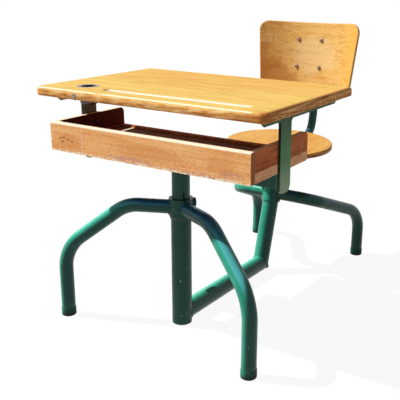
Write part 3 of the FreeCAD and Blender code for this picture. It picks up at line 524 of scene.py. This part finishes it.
def olive_enamel():
    """The same enamel on the flat bars, where it has yellowed and gone thin over the steel: darker near
    the top as painted shade under it, paler toward the bars' lower ends, brown with dirt on the left
    bar, and near black on faces turned forward as painted shade."""
    material, tree = new_finish("steel_enamelled_olive_green")
    tone = clouded(tree, "4C8256", "62986A", (40, 40, 60))
    # Painted shade: darker close under the top
    tone = laid_over(tree, tone, "1E4626", beyond(tree, TOP_CORNER, TOP_DOWNWARD, 115, 40), 0.75)
    tone = laid_over(tree, tone, "A6C0A8", beyond(tree, TOP_CORNER, TOP_DOWNWARD, 110, 190), 0.7)
    left_bar = beyond(tree, TOP_CORNER, ALONG_X, 60, 50)
    tone = laid_over(tree, tone, "84745A", left_bar, 0.9)
    left_angle = beyond(tree, TOP_CORNER, TOP_DOWNWARD, 44, 38)
    tone = laid_over(tree, tone, "B4A48C", left_bar, left_angle, 0.8)
    weld_grime = patch(tree, on_top(30, 134, 40), (30, 70, 26), 0.5, (7, 7, 6))
    tone = laid_over(tree, tone, "A89A88", weld_grime, 0.7)
    # Painted shade: faces turned forward near black
    tone = laid_over(tree, tone, "241416", facing(tree, TOP_FORWARD, 0.6, 0.9), 0.9)
    tone = laid_over(tree, tone, "B9BFB0", spots(tree, (6, 6, 7), 0.75, 0.77, 1.0, (8, 3, 3)))
    return finished(material, tree, tone, mottle(tree, (4, 4, 4)), 0.04, Roughness=0.5, IOR=1.5,
                    Specular_IOR_Level=0.15)


def dull_steel(name, pale, dark, rough):
    """Plated or blackened steel gone dull: soft reflections, clouded with oxide, finely scratched."""
    material, tree = new_finish(name)
    tone = clouded(tree, dark, pale, (5, 5, 5), 4.0)
    scratches = mottle(tree, (12, 0.9, 1.2))
    return finished(material, tree, tone, scratches, 0.03, Metallic=0.8, Roughness=rough)


def painted_rubber():
    """Moulded black rubber with the legs' enamel brushed over nearly all of it, worn off near the
    floor. The enamel is painted paler on the side toward the lamp, as painted light."""
    material, tree = new_finish("rubber_moulded_black")
    rubber = clouded(tree, "101312", "20262A", (9, 9, 5), 3.0, (1, 1, 4))
    # Painted light: the enamel is paler on the side toward the lamp
    overspray_with_painted_light = laid_over(tree, "1A463A", "2A9480", facing(tree, TOWARD_LIGHT, 0.06, 0.5))
    kept = spots(tree, (7, 7, 6), 0.32, 0.44, 3.0)
    tone = laid_over(tree, rubber, overspray_with_painted_light, beyond(tree, ORIGIN, UPWARD, 3, 14), kept)
    return finished(material, tree, tone, mottle(tree, (2, 2, 2)), 0.10, Roughness=0.6,
                    Specular_IOR_Level=0.2)


def moulded_plastic(name, dark, pale, rough):
    """Moulded thermoset: dense, marbled faintly by its flow, and dusty where it is unused."""
    material, tree = new_finish(name)
    tone = clouded(tree, dark, pale, (7, 7, 9), 3.0, (2, 2, 2), 1.0)
    return finished(material, tree, tone, mottle(tree, (3, 3, 3), 1.0), 0.03, Roughness=rough,
                    IOR=1.5)


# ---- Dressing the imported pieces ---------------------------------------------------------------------

def dress(material, *names):
    """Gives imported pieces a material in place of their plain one."""
    for name in names:
        for slot in NODES[name].material_slots:
            slot.material = material


def soften_arrises(width, *names):
    """Takes the machine-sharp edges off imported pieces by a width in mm, leaving their meshes alone."""
    for name in names:
        piece = NODES[name]
        weld = piece.modifiers.new("close_seams", "WELD")
        weld.merge_threshold = 0.01 * MM
        bevel = piece.modifiers.new("soft_arrises", "BEVEL")
        bevel.width = width * MM
        bevel.segments = 2
        bevel.limit_method = "ANGLE"
        bevel.angle_limit = math.radians(50)
        bevel.harden_normals = True


enamel = enamel_with_painted_light()
dress(enamel, "desk_leg_left", "desk_leg_right", "floor_beam", "seat_column", "seat_collar",
      "seat_leg_left", "seat_post", "seat_plate", "back_plate")
dress(shaded_copy_enamel(), "desk_post", "post_collar", "seat_leg_right", "back_tube", "height_tube",
      "crossbar")
dress(olive_enamel(), "top_bracket_left", "top_bracket_right", "upright_left", "upright_right")
dress(varnished_beech_top(), "desktop")
dress(varnished_tray_front(), "tray_front_board")
dress(stained_tray_wood(), "tray_side_left", "tray_side_right", "tray_rail_left",
      "tray_rail_right", "tray_rear_rail")
dress(stained_tray_panel(), "tray_bottom_panel")
dress(plywood_seat(), "seat_board")
dress(plywood_backrest(), "backrest_board")
dress(dull_steel("steel_zinc_dull", "A4A19C", "6E6B66", 0.45), "edge_plate", "top_screws",
      "seat_screws", "backrest_nuts")
dress(dull_steel("steel_bolts_stained_over", "6E3A2A", "4E281C", 0.7), "tray_bolts")
dress(dull_steel("steel_bolts_worn_brown", "A08068", "6C5344", 0.5), "backrest_bolts")
dress(dull_steel("steel_blackened", "2A2A2A", "141414", 0.5), "post_clamp_screw",
      "seat_clamp_screw")
dress(painted_rubber(), "post_foot_cap", "desk_foot_cap_left", "desk_foot_cap_right",
      "seat_foot_cap_left", "seat_foot_cap_right")
dress(moulded_plastic("plastic_black_matt", "141414", "242424", 0.6), "back_tube_cap")
dress(moulded_plastic("inkwell_thermoset_dark_plum", "2B1722", "6E5F74", 0.25), "inkwell")
soften_arrises(0.8, "top_bracket_left", "top_bracket_right", "crossbar", "tray_side_left",
               "tray_side_right", "tray_rail_left", "tray_rail_right")


# ---- Weld beads -----------------------------------------------------------------------------------

BEAD_WIDTH = 4.5 * MM
# A bead swells and thins at each ripple, and wavers more slowly, by these shares of its width
RIPPLE_PITCH = 4.0 * MM
RIPPLE_SHARE = 0.16
WAVER_LENGTH = 7 * MM
WAVER_SHARE = 0.10
# The angles of a full turn, at which the points of a round bead lie
TURN = [2 * math.pi * step / 144 for step in range(144)]


def weld_bead(name, body, points, closed=True, width=BEAD_WIDTH):
    """A rippled bead of weld along a line of points, enamelled with the pieces that it joins."""
    curve = bpy.data.curves.new(name, "CURVE")
    curve.dimensions = "3D"
    curve.bevel_depth = width / 2
    curve.bevel_resolution = 3
    spline = curve.splines.new("POLY")
    spline.points.add(len(points) - 1)
    spline.use_cyclic_u = closed
    spline.use_smooth = True
    run = 0.0
    for index, (target, point) in enumerate(zip(spline.points, points)):
        run += (point - points[index - 1]).length if index else 0.0
        ripple = RIPPLE_SHARE * math.sin(2 * math.pi * run / RIPPLE_PITCH)
        waver = WAVER_SHARE * math.sin(run / WAVER_LENGTH)
        target.co = (*point, 1.0)
        target.radius = 1.0 + ripple + waver
    bead = bpy.data.objects.new(name, curve)
    bpy.context.scene.collection.objects.link(bead)
    curve.materials.append(enamel)
    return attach(bead, body)


def bead_on_tube(name, body, centre, outward, across, radius, wall_radius):
    """A bead where a tube ends square on a larger tube whose axis is at right angles to it."""
    other = outward.cross(across)
    points = []
    for angle in TURN:
        side = radius * math.cos(angle)
        reach = math.sqrt(wall_radius ** 2 - side ** 2)
        points.append(centre + outward * reach + across * side + other * radius * math.sin(angle))
    return weld_bead(name, body, points)


def ring(centre, axis, radius):
    """Points of a circle about an axis."""
    first = axis.orthogonal().normalized()
    second = axis.cross(first)
    return [centre + (first * math.cos(a) + second * math.sin(a)) * radius for a in TURN]


def path(corners, step=MM):
    """Points along a path through corners, a step apart."""
    points = []
    for start, end in zip(corners, corners[1:]):
        count = max(2, round((end - start).length / step))
        points += [start.lerp(end, place / count) for place in range(count)]
    return points


def bead_desk_legs():
    """Beads round the desk's legs on the post's collar. Each leg runs outward toward its foot."""
    for side in ("left", "right"):
        low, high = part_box("desk_foot_cap_" + side)
        outward = (low + high) / 2 - POST_AXIS
        outward.z = 0
        outward.normalize()
        hip = POST_AXIS + UPWARD * (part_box("desk_leg_" + side)[1].z - LEG_RADIUS)
        bead_on_tube("weld_desk_leg_" + side, "base", hip, outward, UPWARD.cross(outward),
                     LEG_RADIUS, COLLAR_RADIUS)


def bead_seat_legs():
    """Beads round the seat's legs on the leaning column's collar."""
    hip = on_column(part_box("seat_leg_left")[1].z - LEG_RADIUS)
    for side, outward in (("left", -ALONG_X), ("right", ALONG_X)):
        across = COLUMN_DIRECTION.cross(outward)
        bead_on_tube("weld_seat_leg_" + side, "base", hip, outward, across, LEG_RADIUS,
                     SEAT_COLLAR_RADIUS)


def bead_beam_and_column():
    """Beads round the floor beam on the post, and along its mitre with the leaning column."""
    foot = POST_AXIS + UPWARD * BEAM_AXIS_HEIGHT
    bead_on_tube("weld_beam_post", "base", foot, ALONG_Y, ALONG_X, BEAM_RADIUS, POST_RADIUS)
    column_base = on_column(BEAM_AXIS_HEIGHT)
    mitre = (-ALONG_Y - COLUMN_DIRECTION).normalized()
    points = []
    for angle in TURN:
        offset = ALONG_X * BEAM_RADIUS * math.cos(angle) + UPWARD * BEAM_RADIUS * math.sin(angle)
        points.append(column_base + offset - ALONG_Y * (offset.dot(mitre) / ALONG_Y.dot(mitre)))
    weld_bead("weld_beam_column", "base", points)


def bead_collar():
    """A thin bead under the post's collar."""
    weld_bead("weld_collar_post", "base",
              ring(POST_AXIS + UPWARD * COLLAR_LOW.z, UPWARD, POST_RADIUS), width=3 * MM)


def bead_height_tube(crossbar_low, crossbar_rear):
    """A bead round the height tube, up to the crossbar's rear edge and on its sloping underside."""
    edge = on_top(TOP_WIDTH / 2, crossbar_rear, crossbar_low)
    circle = ring(POST_AXIS, UPWARD, HEIGHT_TUBE_RADIUS)
    for point in circle:
        point.z = edge.z + (point.y - edge.y) * TOP_BACKWARD.z / TOP_BACKWARD.y
    weld_bead("weld_height_tube", "desk_top", [p for p in circle if p.y < edge.y - 2 * MM],
              closed=False)


def bead_top_frame():
    """Beads where the crossbar meets the height tube and the uprights, and the uprights the top's
    brackets."""
    bead_inset = 1
    seam_overrun = 6
    seam_below = TOP_THICKNESS + 16
    crossbar_low = TRAY_LOW_BELOW + CROSSBAR_HEIGHT
    front = CROSSBAR_FRONT_FROM_FRONT
    rear = front + CROSSBAR_WIDTH
    bead_height_tube(crossbar_low, rear)
    for side, end, inward in (("left", TRAY_INSET, 1), ("right", TOP_WIDTH - TRAY_INSET, -1)):
        across = end + inward * bead_inset
        corners = [on_top(across, front, TRAY_LOW_BELOW), on_top(across, front, crossbar_low),
                   on_top(across, rear, crossbar_low), on_top(across, rear, TRAY_LOW_BELOW)]
        weld_bead("weld_crossbar_" + side, "desk_top", path(corners), closed=False, width=4 * MM)
        seam = [on_top(end, front - seam_overrun, seam_below),
                on_top(end, rear + seam_overrun, seam_below)]
        weld_bead("weld_bracket_" + side, "desk_top", path(seam), closed=False, width=3 * MM)


bead_desk_legs()
bead_seat_legs()
bead_beam_and_column()
bead_collar()
bead_top_frame()


# ---- Floor, light and camera ------------------------------------------------------------------------

def seen_by_eye(tree):
    """1 for rays that show the surroundings: from the camera, and in gloss or glass."""
    return any_of(tree, *[add(tree, "LightPath", out=name) for name in
                          ("Is Camera Ray", "Is Glossy Ray", "Is Transmission Ray")])


def make_floor():
    """A plain pale floor that keeps a faint shadow of the desk."""
    half = 6.0
    own_glow = 0.93
    mesh = bpy.data.meshes.new("floor")
    mesh.from_pydata([(-half, -half, 0), (half, -half, 0), (half, half, 0), (-half, half, 0)], [],
                     [(0, 1, 2, 3)])
    floor = bpy.data.objects.new("floor", mesh)
    bpy.context.scene.collection.objects.link(floor)
    material, tree = new_finish("floor_pale_plain")
    # White to the eye, but a pale grey for the light that it throws back up at the desk
    eye = seen_by_eye(tree)
    ground = add(tree, "BsdfDiffuse", {"Color": laid_over(tree, "D0CCC8", "FFFFFF", eye)})
    glow = add(tree, "Emission", {"Color": "FFFFFF", "Strength": 1.0})
    add(tree, "OutputMaterial",
        {"Surface": add(tree, "MixShader", {0: all_of(tree, eye, own_glow), 1: ground, 2: glow})})
    mesh.materials.append(material)


def light_scene():
    """One lamp, small and hard as the sun, from high on the left and in front, and a faint even fill
    from all round. The surroundings are white to the eye alone."""
    world = bpy.data.worlds.new("studio")
    bpy.context.scene.world = world
    world.use_nodes = True
    tree = world.node_tree
    tree.nodes.clear()
    fill = add(tree, "Background", {"Color": "EEF0F4", "Strength": 0.12})
    white = add(tree, "Background", {"Color": "FFFFFF", "Strength": 1.0})
    add(tree, "OutputWorld",
        {"Surface": add(tree, "MixShader", {0: seen_by_eye(tree), 1: fill, 2: white})})
    lamp = bpy.data.lights.new("key", "SUN")
    lamp.energy = 4.8
    lamp.angle = math.radians(0.6)
    lamp.color = colour("FFF8EC")[:3]
    key = bpy.data.objects.new("key", lamp)
    key.rotation_euler = TOWARD_LIGHT.to_track_quat("Z", "Y").to_euler()
    bpy.context.scene.collection.objects.link(key)


def place_camera():
    """The camera stands to the right of the desk's front, a little above its top."""
    image_side = 400
    focal_pixels = 667.95
    middle_x, middle_y = 247.78, 187.86
    stand = (0.90501, -1.46965, 0.78225)
    turned_left, tipped_down, rolled = 31.23, 16.24, 1.06
    data = bpy.data.cameras.new("camera")
    data.sensor_width = 36
    data.lens = focal_pixels / image_side * data.sensor_width
    data.shift_x = (image_side / 2 - middle_x) / image_side
    data.shift_y = (middle_y - image_side / 2) / image_side
    data.clip_start = 0.05
    camera = bpy.data.objects.new("camera", data)
    turn = Matrix.Rotation(math.radians(turned_left), 4, "Z")
    tip = Matrix.Rotation(math.radians(90 - tipped_down), 4, "X")
    roll = Matrix.Rotation(math.radians(rolled), 4, "Z")
    camera.matrix_world = Matrix.Translation(stand) @ turn @ tip @ roll
    bpy.context.scene.collection.objects.link(camera)
    bpy.context.scene.camera = camera


make_floor()
light_scene()
place_camera()
bpy.context.scene.view_settings.view_transform = "Standard"
